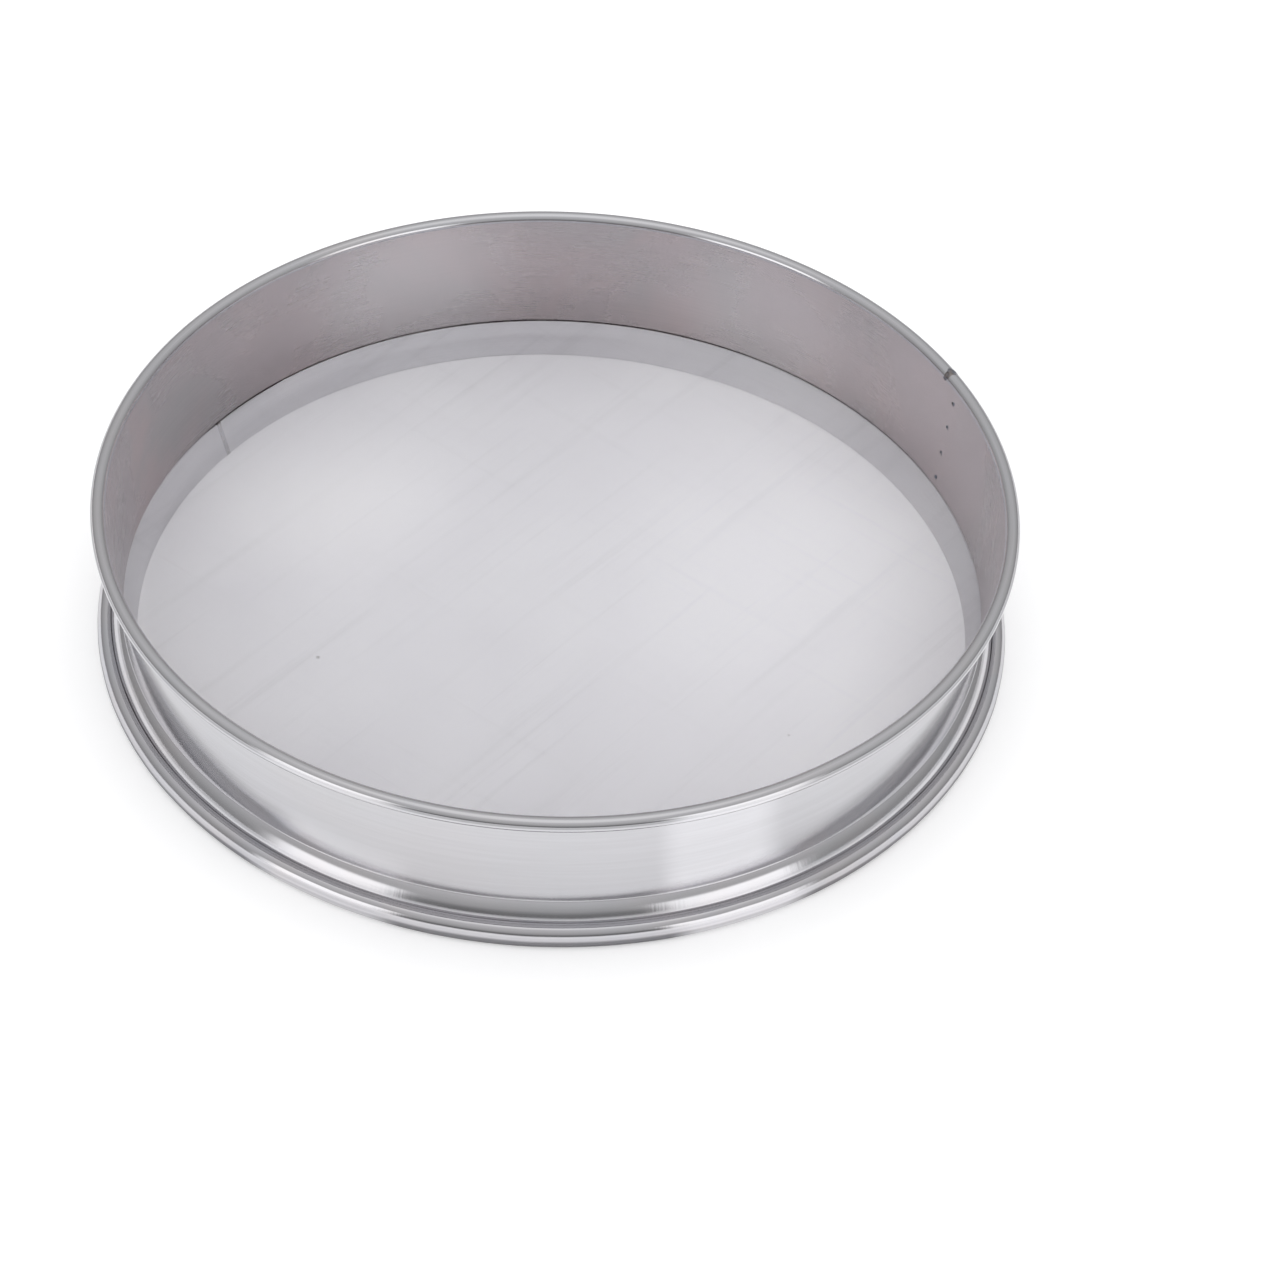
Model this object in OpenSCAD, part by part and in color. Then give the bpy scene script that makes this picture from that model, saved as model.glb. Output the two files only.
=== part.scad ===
// Round kitchen sieve: a sheet hoop with a rolled rim, a woven screen stretched over
// an inner ring that sits in the hoop's swollen foot, and a rounded foot ring.
// Millimetres, +Z up, the foot's sole on z = 0 and the sieve's axis on the Z axis.

/* [Overall] */
// Outside diameter over the rolled rim
rim_d = 350; // [240:1:440]
// How far the foot ring stands out past the rim, each side
foot_overhang = 0; // [0:0.5:4]
// Height from the table to the top of the rim
height = 65; // [45:1:120]

/* [Hoop] */
// Thickness of the hoop's sheet
hoop_t = 0.6; // [0.4:0.1:0.9]
// Outside diameter of the rolled rim
bead_d = 5.6; // [4.2:0.1:7]
// How far the wall leans inwards from the rim down to the swell
wall_taper = 4.7; // [2.4:0.1:6]
// Gap left where the roll comes back to the wall
curl_gap = 0.3; // [0.2:0.1:0.8]
// How far the hoop's foot swells outwards
swell_run = 4.7; // [3.6:0.1:5.6]
// Height of the swell
swell_drop = 10; // [8.6:0.1:11]
// Width of the lap where the strip's ends meet
lap_w = 9; // [6:0.5:20]
// Diameter of a spot weld on the lap
spot_d = 1.8; // [1:0.1:4]

/* [Screen] */
// Thickness of the woven cloth
mesh_t = 0.4; // [0.2:0.1:0.8]
// Height of the cloth's top face above the table
mesh_z = 14.6; // [14:0.1:17]
// How far the cloth reaches out under the wall, into the swell
mesh_reach = 1.2; // [0.6:0.1:1.3]
// How far the cloth's edge is turned down
mesh_skirt = 2.4; // [1:0.1:4]
// Openings across the cloth, a plain grid that stands for its fine mesh
openings_across = 12; // [4:1:12]
// Width of the strips between the openings
strip_w = 8; // [4:1:14]

/* [Mesh ring] */
// Thickness of the mesh ring's sheet
ring_t = 0.8; // [0.5:0.1:1]
// How far the ring's upper part leans inwards
leg_run = 2.4; // [1.2:0.1:3.4]
// Height of the ring's upper part
leg_drop = 7.5; // [6:0.1:8.5]
// How far the ring's toe turns inwards
toe_run = 2.2; // [1:0.1:6]
// Gap between the toe and the table
toe_gap = 0.3; // [0.1:0.1:1]

/* [Foot ring] */
// Thickness of the foot ring's sheet
foot_t = 0.7; // [0.5:0.1:0.9]
// Height of the foot ring's rounded shoulder
foot_h = 9.6; // [8.4:0.1:10.4]
// Height at which the foot ring is widest
bulge_z = 5; // [4:0.1:6]
// Width of the flat sole that it stands on
sole_w = 0.9; // [0.6:0.1:1.4]

/* [Hidden] */
// Clearance between sheets that are crimped together
fit = 0.05;
// Clearance round a weld
weld_fit = 0.02;
// Slit between a ring's two ends, which the weld fills
joint_w = 1.2;
// Gap between the top of the lap and the rolled rim
lap_rim_gap = 0.6;
// Height of the swell's top above the cloth
seat_h = 0.8;
// Play between the swell's edge and the foot ring's web
web_gap = 0.6;
// Rounding of the cloth's edge
mesh_bend = 0.5;
// Overrun of cuts
over = 1;
// Where the joints lie round the axis, in degrees from +X
rim_joint_az = 27.5;
lap_az = 24.4;
ring_joint_az = 146;
// Angles on the foot ring's rounded shoulder where its outline starts and ends
shoulder_from = 110;
shoulder_to = -40;
// Where the sole's outer edge lies, as a share of the shoulder's half width
sole_share = 0.46;
// How far from the axis an opening may have its middle, as a share of the grid
reach_share = 0.955;
// Where along the lap's height each spot weld lies, from the top
spot_shares = [0.05, 0.32, 0.61, 0.89];
curl_steps = 40;
swell_steps = 14;
shoulder_steps = 14;
$fn = 96;

// Hoop: radii of the wall's middle at the rim and at the swell, and the rolled rim
curl_r = (bead_d - hoop_t) / 2;
curl_rc = rim_d / 2 - bead_d / 2;
curl_z = height - bead_d / 2;
curl_end = acos((curl_r - hoop_t - curl_gap) / curl_r) - 180;
rim_rc = curl_rc - curl_r;
wall_rc = rim_rc - wall_taper;
wall_ri = wall_rc - hoop_t / 2;
swell_top = mesh_z + seat_h;
swell_end_r = wall_rc + swell_run;
swell_end_z = swell_top - swell_drop;
lap_bottom = swell_top;
lap_top = height - bead_d - lap_rim_gap;

// Screen: middle of the cloth and of its turned edge
mesh_zc = mesh_z - mesh_t / 2;
mesh_rc = wall_ri + mesh_reach - mesh_t / 2;

// Mesh ring: its ridge under the cloth, its corner and its toe
ridge_r = mesh_rc - mesh_t / 2 - fit - ring_t / 2;
ridge_z = mesh_z - mesh_t - fit;
corner_r = ridge_r - leg_run;
corner_z = ridge_z - leg_drop;
toe_r = corner_r - toe_run;
toe_z = toe_gap + ring_t / 2;

// Grid of openings in the cloth, inside the mesh ring
grid_r = toe_r - ring_t / 2;
grid_pitch = 2 * grid_r / openings_across;
opening_w = grid_pitch - strip_w;

// Foot ring: the half width and half height of its rounded shoulder
foot_rc = rim_d / 2 + foot_overhang - foot_t / 2;
shoulder_b = foot_h - foot_t / 2 - bulge_z;
lip_z = bulge_z + shoulder_b * sin(shoulder_from);
lip_r = swell_r(lip_z) + (hoop_t + foot_t) / 2 + fit;
shoulder_a = (foot_rc - lip_r) / (1 - cos(shoulder_from));
shoulder_rc = foot_rc - shoulder_a;
sole_r = shoulder_rc + shoulder_a * sole_share;
web_r = swell_end_r + web_gap;
ledge_z = swell_end_z - (hoop_t + foot_t) / 2 - fit;
ledge_r = ring_r(ledge_z) + ring_t / 2 + fit;

// Radius of the swell's middle line at height z: a quarter of an ellipse
function swell_r(z) =
    let (s = max(0, min(1, (z - swell_end_z) / swell_drop)))
    wall_rc + swell_run * sqrt(1 - s * s);

// Radius of the wall's middle line at height z, above the swell
function wall_r(z) =
    wall_rc + wall_taper * (z - swell_top) / (curl_z - swell_top);

// Radius of the mesh ring's middle line at height z, below its corner
function ring_r(z) =
    corner_r - toe_run * (corner_z - z) / (corner_z - toe_z);

function unit(v) = v / norm(v);
function left(v) = [-v[1], v[0]];
function reverse(list) = [for (i = [len(list) - 1 : -1 : 0]) list[i]];

// Points of an ellipse's arc from one angle to another
function arc(c, a, b, from, to, steps) =
    [for (i = [0 : steps])
        let (t = from + (to - from) * i / steps) c + [a * cos(t), b * sin(t)]];

// A line moved sideways by d, mitred at its corners
function shifted(line, d) =
    let (last = len(line) - 1)
    [for (i = [0 : last])
        let (
            a = unit(line[max(i, 1)] - line[max(i, 1) - 1]),
            b = unit(line[min(i, last - 1) + 1] - line[min(i, last - 1)]),
            m = unit(a + b)
        )
        line[i] + left(m) * d / (m * a)];

// Section of a sheet of thickness t along its middle line
module strip(line, t) {
    polygon(concat(shifted(line, t / 2), reverse(shifted(line, -t / 2))));
}

// Middle lines of the hoop, the cloth, the mesh ring and the foot ring, as [r, z]
hoop_line = concat(
    arc([wall_rc, swell_end_z], swell_run, swell_drop, 0, 90, swell_steps),
    arc([curl_rc, curl_z], curl_r, curl_r, 180, curl_end, curl_steps)
);
mesh_line = [
    [0, mesh_zc],
    [mesh_rc - mesh_bend, mesh_zc],
    [mesh_rc, mesh_zc - mesh_bend],
    [mesh_rc, mesh_zc - mesh_skirt]
];
ring_line = [[ridge_r, ridge_z], [corner_r, corner_z], [toe_r, toe_z]];
foot_line = concat(
    arc([shoulder_rc, bulge_z], shoulder_a, shoulder_b,
        shoulder_from, shoulder_to, shoulder_steps),
    [
        [sole_r, foot_t / 2],
        [sole_r - sole_w, foot_t / 2],
        [web_r, ledge_z],
        [ledge_r, ledge_z]
    ]
);

// A sector of the ring that a section sweeps, centred on an azimuth
module sector(az, width) {
    sweep = width / wall_ri * 180 / PI;
    rotate([0, 0, az - sweep / 2]) rotate_extrude(angle = sweep) children();
}

// The part of the rolled rim that its joint runs through
module rim_joint_section(r_out, r_in, back) {
    difference() {
        translate([curl_rc, curl_z]) circle(r = r_out);
        translate([curl_rc, curl_z]) circle(r = r_in);
        translate([curl_rc - r_out - over, curl_z - r_out - over])
            square([r_out + over, r_out + over + back]);
    }
}

// Place of a spot weld: its axis runs outwards from the wall's inner face
module spot(i) {
    rotate([0, 0, lap_az])
        let (z = lap_top - (lap_top - lap_bottom) * spot_shares[i])
            translate([wall_r(z) - hoop_t / 2, 0, z])
                rotate([0, 90, 0])
                    children();
}

module hoop() {
    color("gainsboro")
        difference() {
            union() {
                rotate_extrude() strip(hoop_line, hoop_t);
                sector(lap_az, lap_w)
                    polygon([
                        [wall_r(lap_bottom), lap_bottom],
                        [wall_r(lap_bottom) + 1.5 * hoop_t, lap_bottom],
                        [wall_r(lap_top) + 1.5 * hoop_t, lap_top],
                        [wall_r(lap_top), lap_top]
                    ]);
            }
            sector(rim_joint_az, joint_w)
                rim_joint_section(bead_d / 2 + over, 0, 0);
            for (i = [0 : len(spot_shares) - 1])
                spot(i)
                    translate([0, 0, -over])
                        cylinder(d = spot_d + 2 * weld_fit, h = 2 * (hoop_t + over));
        }
}

module rim_wire() {
    color("silver")
        rotate_extrude()
            translate([curl_rc, curl_z]) circle(r = curl_r - hoop_t / 2 - 2 * fit);
}

// Outlines of the openings, cut off by the grid's circle
module openings() {
    places = [for (i = [0 : openings_across - 1]) (i + 0.5) * grid_pitch - grid_r];
    intersection() {
        circle(r = grid_r);
        for (x = places, y = places)
            if (norm([x, y]) < grid_r * reach_share)
                translate([x, y]) square(opening_w, center = true);
    }
}

module mesh_screen() {
    color("lightgrey")
        difference() {
            rotate_extrude()
                difference() {
                    strip(mesh_line, mesh_t);
                    strip(hoop_line, hoop_t + 2 * fit);
                }
            translate([0, 0, mesh_z - mesh_t - over])
                linear_extrude(mesh_t + 2 * over) openings();
        }
}

// Section of the mesh ring, clear of the cloth and the hoop
module ring_section() {
    difference() {
        strip(ring_line, ring_t);
        strip(mesh_line, mesh_t + 2 * fit);
        strip(hoop_line, hoop_t + 2 * fit);
    }
}

module mesh_ring() {
    color("darkgrey")
        difference() {
            rotate_extrude() ring_section();
            sector(ring_joint_az, joint_w)
                translate([toe_r - ring_t - over, 0])
                    square([ridge_r - toe_r + 2 * (ring_t + over), mesh_z]);
        }
}

module foot_ring() {
    color("grey")
        rotate_extrude()
            difference() {
                strip(foot_line, foot_t);
                strip(hoop_line, hoop_t + 2 * fit);
                strip(ring_line, ring_t + 2 * fit);
            }
}

module rim_joint_weld() {
    color("dimgrey")
        sector(rim_joint_az, joint_w - 2 * weld_fit)
            rim_joint_section(bead_d / 2, bead_d / 2 - hoop_t, weld_fit);
}

module ring_joint_weld() {
    color("dimgrey")
        sector(ring_joint_az, joint_w - 2 * weld_fit) ring_section();
}

// Spot weld through both sheets of the lap
module spot_weld(i) {
    color("dimgrey")
        spot(i) cylinder(d = spot_d, h = 2 * hoop_t);
}

module lap_spot_weld_1() { spot_weld(0); }
module lap_spot_weld_2() { spot_weld(1); }
module lap_spot_weld_3() { spot_weld(2); }
module lap_spot_weld_4() { spot_weld(3); }

hoop();
rim_wire();
mesh_screen();
mesh_ring();
foot_ring();
rim_joint_weld();
ring_joint_weld();
lap_spot_weld_1();
lap_spot_weld_2();
lap_spot_weld_3();
lap_spot_weld_4();
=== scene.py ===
"""Looks of the stainless kitchen sieve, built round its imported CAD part.

Lengths are written in millimetres, as in the part's source, and become metres
where a mesh, a light or the camera is made.
"""
import math

import bpy
import numpy as np
from mathutils import Matrix


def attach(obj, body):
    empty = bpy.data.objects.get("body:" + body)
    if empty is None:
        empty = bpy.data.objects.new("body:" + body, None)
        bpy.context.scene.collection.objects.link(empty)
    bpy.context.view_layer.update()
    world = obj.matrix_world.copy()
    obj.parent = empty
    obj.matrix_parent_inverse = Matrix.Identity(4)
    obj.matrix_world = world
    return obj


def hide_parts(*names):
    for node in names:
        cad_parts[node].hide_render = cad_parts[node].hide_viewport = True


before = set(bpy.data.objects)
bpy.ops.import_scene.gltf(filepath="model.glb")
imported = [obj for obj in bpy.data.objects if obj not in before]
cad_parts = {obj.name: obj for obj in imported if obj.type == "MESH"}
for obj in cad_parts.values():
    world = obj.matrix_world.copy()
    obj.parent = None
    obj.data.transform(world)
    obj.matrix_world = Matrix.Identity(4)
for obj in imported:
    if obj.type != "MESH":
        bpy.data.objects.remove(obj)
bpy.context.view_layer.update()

MM = 0.001
TURN = 2 * math.pi

# Sizes
HEIGHT = 65.0
HOOP_T = 0.6
ROLL_C = (172.2, 62.2)
ROLL_R = 2.8
ROLL_END = -129.8
WALL_R_RIM = 169.7
WALL_R_FOOT = 165.0
FLARE = 1.0
FLARE_REACH = 6.0
SWELL_TOP = 15.4
SWELL_H = 10.0
SWELL_LIP = (169.36, 9.0)
SWELL_CROSS = (168.0, 13.3)
SWELL_EDGE = [(169.8, 5.5), (169.75, 6.8), (169.45, 8.6)]
LAP_W = 9.0
LAP_TOP = 58.8
LAP_BOTTOM = SWELL_TOP + 0.6
LAP_HALF_TURN = LAP_W / 2 / WALL_R_FOOT

CLOTH_Z = 14.6
CLOTH_T = 0.4
CLOTH_EDGE_R = 165.7
CLOTH_SKIRT = 2.4
CLOTH_BEND = 0.75
CLOTH_TRIM = 1.2
CLOTH_SIDE = 1.5
WIRE_D = 0.15
WIRE_PITCH = 0.42
WEAVE_ANGLE = 51.0

RING_T = 0.8
RING_LINE = [(165.05, 14.05), (162.65, 6.65), (160.45, 0.7)]
RING_TOE_Z = 6.0
RING_LEG_H = 8.5

FOOT_T = 0.7
FOOT_R = 175.0
BULGE_Z = 5.0
SHOULDER_A = 3.4
SHOULDER_B = 4.25
SHOULDER_LIP = 110.0
SHOULDER_LOW = -44.0
SHOULDER_R = 169.0
SHOULDER_WIDE = 6.0
SOLE_R = (172.9, 172.0)
WEB_R = 170.3
LEDGE_R = 162.45
LEDGE_Z = 4.7

RIM_JOINT_AZ = 27.5
LAP_AZ = 24.4
RING_JOINT_AZ = 146.0
SPOT_Z = (56.6, 44.9, 32.3, 20.2)
RIM_JOINT_HALF = 3.4
RING_JOINT_PROUD = 0.25
FLOOR_HALF = 4000.0


# Camera
def aim_camera():
    """The photograph's viewpoint: 1.6 m from the sieve's foot, 43 degrees up,
    turned a little off the axis and rolled."""
    distance, up_angle = 1614.41, math.radians(42.968)
    yaw, pitch, roll = 0.021906, -0.005311, math.radians(1.9973)
    frame_px, focal_px, sensor = 1286.0, 4161.6, 36.0

    place = distance * np.array([0, -math.cos(up_angle), math.sin(up_angle)])
    ahead = -place / np.linalg.norm(place)
    side = np.array([1.0, 0, 0])
    over = np.cross(side, ahead)
    ahead = ahead + side * yaw + over * pitch
    ahead /= np.linalg.norm(ahead)
    right = np.cross(ahead, over)
    right /= np.linalg.norm(right)
    top = np.cross(right, ahead)
    c, s = math.cos(roll), math.sin(roll)
    right, top = c * right + s * top, c * top - s * right

    data = bpy.data.cameras.new("camera")
    data.sensor_width = sensor
    data.lens = focal_px / frame_px * sensor
    data.clip_start, data.clip_end = 0.01, 50.0
    camera = bpy.data.objects.new("camera", data)
    bpy.context.scene.collection.objects.link(camera)
    axes = np.eye(4)
    axes[:3, 0], axes[:3, 1], axes[:3, 2] = right, top, -ahead
    axes[:3, 3] = place * MM
    camera.matrix_world = Matrix(axes.tolist())
    bpy.context.scene.camera = camera


aim_camera()


# Node trees
class Graph:
    """Builds a node tree: each call adds one node, feeds its inputs with values
    or other nodes' outputs, and gives back one output."""

    def __init__(self, tree):
        self.tree = tree

    def add(self, kind, feeds=(), out=0, **settings):
        made = self.tree.nodes.new(kind)
        for key, value in settings.items():
            setattr(made, key, value)
        pairs = feeds.items() if isinstance(feeds, dict) else enumerate(feeds)
        for key, value in pairs:
            if isinstance(value, bpy.types.NodeSocket):
                self.tree.links.new(value, made.inputs[key])
            elif value is not None:
                made.inputs[key].default_value = value
        return made.outputs[out] if made.outputs else None

    def math(self, operation, *feeds, clamp=False):
        return self.add("ShaderNodeMath", feeds, operation=operation, use_clamp=clamp)

    def vector(self, operation, *feeds, out=0):
        return self.add("ShaderNodeVectorMath", feeds, out=out, operation=operation)

    def rise(self, value, start, end, low=0.0, high=1.0):
        """Goes smoothly from low to high as value goes from start to end."""
        return self.add("ShaderNodeMapRange", (value, start, end, low, high),
                        interpolation_type="SMOOTHSTEP")

    def mix(self, share, first, second):
        return self.add("ShaderNodeMix", {0: share, 6: first, 7: second},
                        out=2, data_type="RGBA")

    def blend(self, share, first, second):
        return self.add("ShaderNodeMix", {0: share, 2: first, 3: second},
                        data_type="FLOAT")

    def noise(self, place, scale, detail=2.0, rough=0.5, twist=0.0):
        return self.add("ShaderNodeTexNoise",
                        {"Vector": place, "Scale": scale, "Detail": detail,
                         "Roughness": rough, "Distortion": twist})

    def object_place(self):
        return self.add("ShaderNodeTexCoord", out="Object")


def new_group(name, inputs, outputs):
    """A shader node group with named sockets, and the graph that fills it."""
    tree = bpy.data.node_groups.new(name, "ShaderNodeTree")
    kinds = {"f": "NodeSocketFloat", "v": "NodeSocketVector", "c": "NodeSocketColor"}
    for socket, kind in inputs:
        tree.interface.new_socket(socket, in_out="INPUT", socket_type=kinds[kind])
    for socket, kind in outputs:
        tree.interface.new_socket(socket, in_out="OUTPUT", socket_type=kinds[kind])
    graph = Graph(tree)
    entry = tree.nodes.new("NodeGroupInput")
    leave = tree.nodes.new("NodeGroupOutput")
    return tree, graph, entry.outputs, leave.inputs


def use_group(graph, tree, feeds):
    made = graph.tree.nodes.new("ShaderNodeGroup")
    made.node_tree = tree
    for key, value in feeds.items():
        if isinstance(value, bpy.types.NodeSocket):
            graph.tree.links.new(value, made.inputs[key])
        else:
            made.inputs[key].default_value = value
    return made.outputs


def round_grain_group():
    """Streaks on a turned or rolled sheet: noise stretched round the axis or
    across it. Around counts waves for each unit of direction, Across for each
    metre of height and radius."""
    tree, g, given, put = new_group(
        "round_grain",
        [("Place", "v"), ("Around", "f"), ("Across", "f"), ("Detail", "f")],
        [("Value", "f")])
    flat = g.vector("MULTIPLY", given["Place"], (1, 1, 0))
    facing = g.vector("NORMALIZE", flat)
    reach = g.vector("LENGTH", flat, out=1)
    parts = g.tree.nodes.new("ShaderNodeSeparateXYZ")
    g.tree.links.new(given["Place"], parts.inputs[0])
    level = g.math("MULTIPLY", g.math("ADD", parts.outputs[2], reach), given["Across"])
    turned = g.vector("SCALE", facing)
    g.tree.links.new(given["Around"], turned.node.inputs["Scale"])
    lifted = g.add("ShaderNodeCombineXYZ", (0, 0, level))
    place = g.vector("ADD", turned, lifted)
    value = g.noise(place, 1.0, given["Detail"], 0.55)
    g.tree.links.new(value, put["Value"])
    return tree


def tint_group():
    """Faint heat and handling tints on stainless sheet: two slow noises move the
    colour between a pinkish and a greenish grey and make it lighter and darker."""
    tree, g, given, put = new_group(
        "sheet_tint",
        [("Place", "v"), ("Base", "c"), ("Warm", "c"), ("Cool", "c"),
         ("Scale", "f"), ("Strength", "f")],
        [("Color", "c"), ("Value", "f")])
    slow = g.noise(given["Place"], given["Scale"], 3.0, 0.55, 0.4)
    other = g.noise(g.vector("ADD", given["Place"], (3.1, 1.7, 0.4)), given["Scale"],
                    4.0, 0.6, 0.8)
    side = g.rise(slow, 0.36, 0.64)
    hue = g.mix(side, given["Warm"], given["Cool"])
    amount = g.math("MULTIPLY", g.rise(other, 0.3, 0.7), given["Strength"])
    g.tree.links.new(g.mix(amount, given["Base"], hue), put["Color"])
    g.tree.links.new(g.rise(other, 0.25, 0.75), put["Value"])
    return tree


def speck_group():
    """Few small dark specks: cells of a scattered pattern whose random number
    is low keep a dot at their centre."""
    tree, g, given, put = new_group(
        "specks", [("Place", "v"), ("Scale", "f"), ("Share", "f"), ("Size", "f")],
        [("Mask", "f")])
    cells = g.tree.nodes.new("ShaderNodeTexVoronoi")
    g.tree.links.new(given["Place"], cells.inputs["Vector"])
    g.tree.links.new(given["Scale"], cells.inputs["Scale"])
    pick = g.tree.nodes.new("ShaderNodeSeparateColor")
    g.tree.links.new(cells.outputs["Color"], pick.inputs[0])
    few = g.math("LESS_THAN", pick.outputs[0], given["Share"])
    near = g.math("LESS_THAN", cells.outputs["Distance"], given["Size"])
    g.tree.links.new(g.math("MULTIPLY", few, near), put["Mask"])
    return tree


def streak_group():
    """Long streaks that run one way over the flat cloth: noise stretched along
    a direction. Angle is in radians, Along and Across count waves a metre."""
    tree, g, given, put = new_group(
        "cloth_streaks",
        [("Place", "v"), ("Angle", "f"), ("Along", "f"), ("Across", "f")],
        [("Value", "f")])
    turned = g.add("ShaderNodeVectorRotate",
                   {"Vector": given["Place"], "Angle": given["Angle"]},
                   rotation_type="Z_AXIS")
    stretch = g.add("ShaderNodeCombineXYZ", (given["Along"], given["Across"], 0.0))
    place = g.vector("MULTIPLY", turned, stretch)
    g.tree.links.new(g.noise(place, 1.0, 4.0, 0.6), put["Value"])
    return tree


ROUND_GRAIN = round_grain_group()
SHEET_TINT = tint_group()
SPECKS = speck_group()
STREAKS = streak_group()


def new_material(name):
    material = bpy.data.materials.new(name)
    material.use_nodes = True
    material.node_tree.nodes.clear()
    return material, Graph(material.node_tree)


def close_metal(graph, colour, roughness, height=None, bump=0.0, anisotropic=0.0):
    """The metal's own shader, last in its material."""
    feeds = {"Base Color": colour, "Roughness": roughness, "Metallic": 1.0}
    if height is not None:
        feeds["Normal"] = graph.add(
            "ShaderNodeBump", {"Strength": 1.0, "Distance": bump, "Height": height})
    if anisotropic:
        feeds["Anisotropic"] = anisotropic
        feeds["Tangent"] = graph.add("ShaderNodeTangent", direction_type="RADIAL",
                                     axis="Z")
    shader = graph.add("ShaderNodeBsdfPrincipled", feeds)
    graph.add("ShaderNodeOutputMaterial", {"Surface": shader})


def steel(name, base, warm, cool, tint_scale, tint, rough, rough_play,
          around, across, grain_bump, anisotropic=0.0, extra=None):
    """Stainless sheet: tinted colour, grain round the axis, and a roughness
    that follows both. extra(graph, place, colour, height) may add to it."""
    material, g = new_material(name)
    place = g.object_place()
    tone = use_group(g, SHEET_TINT, {
        "Place": place, "Base": base, "Warm": warm, "Cool": cool,
        "Scale": tint_scale, "Strength": tint})
    grain = use_group(g, ROUND_GRAIN, {
        "Place": place, "Around": around, "Across": across, "Detail": 3.0})["Value"]
    colour = g.mix(g.rise(grain, 0.3, 0.7, 0.0, 0.12), tone["Color"],
                   (0.42, 0.41, 0.42, 1))
    roughness = g.math("ADD", rough, g.math(
        "MULTIPLY", g.math("ADD", g.math("SUBTRACT", grain, 0.5),
                           g.math("SUBTRACT", tone["Value"], 0.5)), rough_play))
    height = grain
    if extra:
        colour, roughness, height = extra(g, place, colour, roughness, height)
    close_metal(g, colour, roughness, height, grain_bump, anisotropic)
    return material


def bands(graph, place, colour, roughness, height):
    """Fine upright ripples that the crimping rolls press into the foot."""
    ripple = use_group(graph, ROUND_GRAIN, {
        "Place": place, "Around": 150.0, "Across": 60.0, "Detail": 2.0})["Value"]
    slow = use_group(graph, ROUND_GRAIN, {
        "Place": place, "Around": 9.0, "Across": 20.0, "Detail": 2.0})["Value"]
    share = graph.rise(slow, 0.4, 0.62, 0.15, 1.0)
    height = graph.math("ADD", graph.math("MULTIPLY", height, 0.15),
                        graph.math("MULTIPLY", ripple, share))
    return colour, roughness, height


def painted_reflection_places(graph, place, colour, roughness, height):
    """Two wide paler places on the inner wall, at the back: painted reflections in the
    wall's colour.
    """
    left = graph.vector("DISTANCE", place, (-0.0626, 0.1548, 0.033), out=1)
    right = graph.vector("DISTANCE", place, (0.0835, 0.1446, 0.033), out=1)
    share = graph.math("MAXIMUM", graph.rise(left, 0.060, 0.012, 0.0, 0.62),
                       graph.rise(right, 0.055, 0.015, 0.0, 0.35))
    # painted reflection: the colour is paler round the two points
    return graph.mix(share, colour, (0.97, 0.93, 0.925, 1)), roughness, height


def make_materials():
    made = {}
    made["outside"] = steel(
        "hoop_outside", (0.665, 0.66, 0.685, 1), (0.66, 0.645, 0.655, 1),
        (0.64, 0.65, 0.67, 1), 14.0, 0.5, 0.12, 0.03, 3.0, 600.0, 1.0e-6)
    # the inner wall's colour carries painted reflections: two pale places at the back
    made["inside"] = steel(
        "hoop_inside", (0.72, 0.66, 0.665, 1), (0.75, 0.655, 0.65, 1),
        (0.63, 0.625, 0.62, 1), 18.0, 0.8, 0.27, 0.08, 4.0, 2600.0, 5e-6, 0.3,
        extra=painted_reflection_places)
    made["roll"] = steel(
        "rolled_rim", (0.66, 0.655, 0.68, 1), (0.66, 0.64, 0.65, 1),
        (0.62, 0.63, 0.66, 1), 22.0, 0.6, 0.13, 0.05, 3.0, 2200.0, 2e-6)
    made["swell"] = steel(
        "swollen_foot", (0.65, 0.64, 0.665, 1), (0.65, 0.62, 0.63, 1),
        (0.60, 0.61, 0.64, 1), 22.0, 0.7, 0.14, 0.06, 3.0, 1800.0, 2.5e-5,
        extra=bands)
    made["foot"] = steel(
        "foot_ring_steel", (0.66, 0.65, 0.675, 1), (0.66, 0.63, 0.64, 1),
        (0.60, 0.61, 0.65, 1), 24.0, 0.7, 0.10, 0.05, 3.0, 1800.0, 1.5e-5,
        extra=bands)
    made["ring"] = steel(
        "mesh_ring_steel", (0.86, 0.855, 0.87, 1), (0.85, 0.83, 0.84, 1),
        (0.81, 0.825, 0.835, 1), 20.0, 0.8, 0.36, 0.10, 4.0, 2400.0, 5e-6)
    made["wire"] = steel(
        "rim_wire_steel", (0.45, 0.44, 0.44, 1), (0.42, 0.40, 0.38, 1),
        (0.40, 0.41, 0.42, 1), 30.0, 0.8, 0.40, 0.10, 4.0, 900.0, 5e-6)
    made["weld"] = weld_metal()
    made["cloth"] = cloth_wire()
    return made


def weld_metal():
    """Weld metal: dull grey with brown and blue heat tints and a pitted skin."""
    material, g = new_material("weld_metal")
    place = g.object_place()
    lumps = g.noise(place, 900.0, 4.0, 0.6)
    heat = g.noise(place, 300.0, 2.0)
    colour = g.mix(g.rise(heat, 0.35, 0.65), (0.30, 0.27, 0.26, 1),
                   (0.24, 0.26, 0.31, 1))
    colour = g.mix(g.rise(lumps, 0.5, 0.72), colour, (0.07, 0.065, 0.065, 1))
    close_metal(g, colour, g.rise(lumps, 0.3, 0.7, 0.30, 0.55), lumps, 4e-5)
    return material


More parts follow.
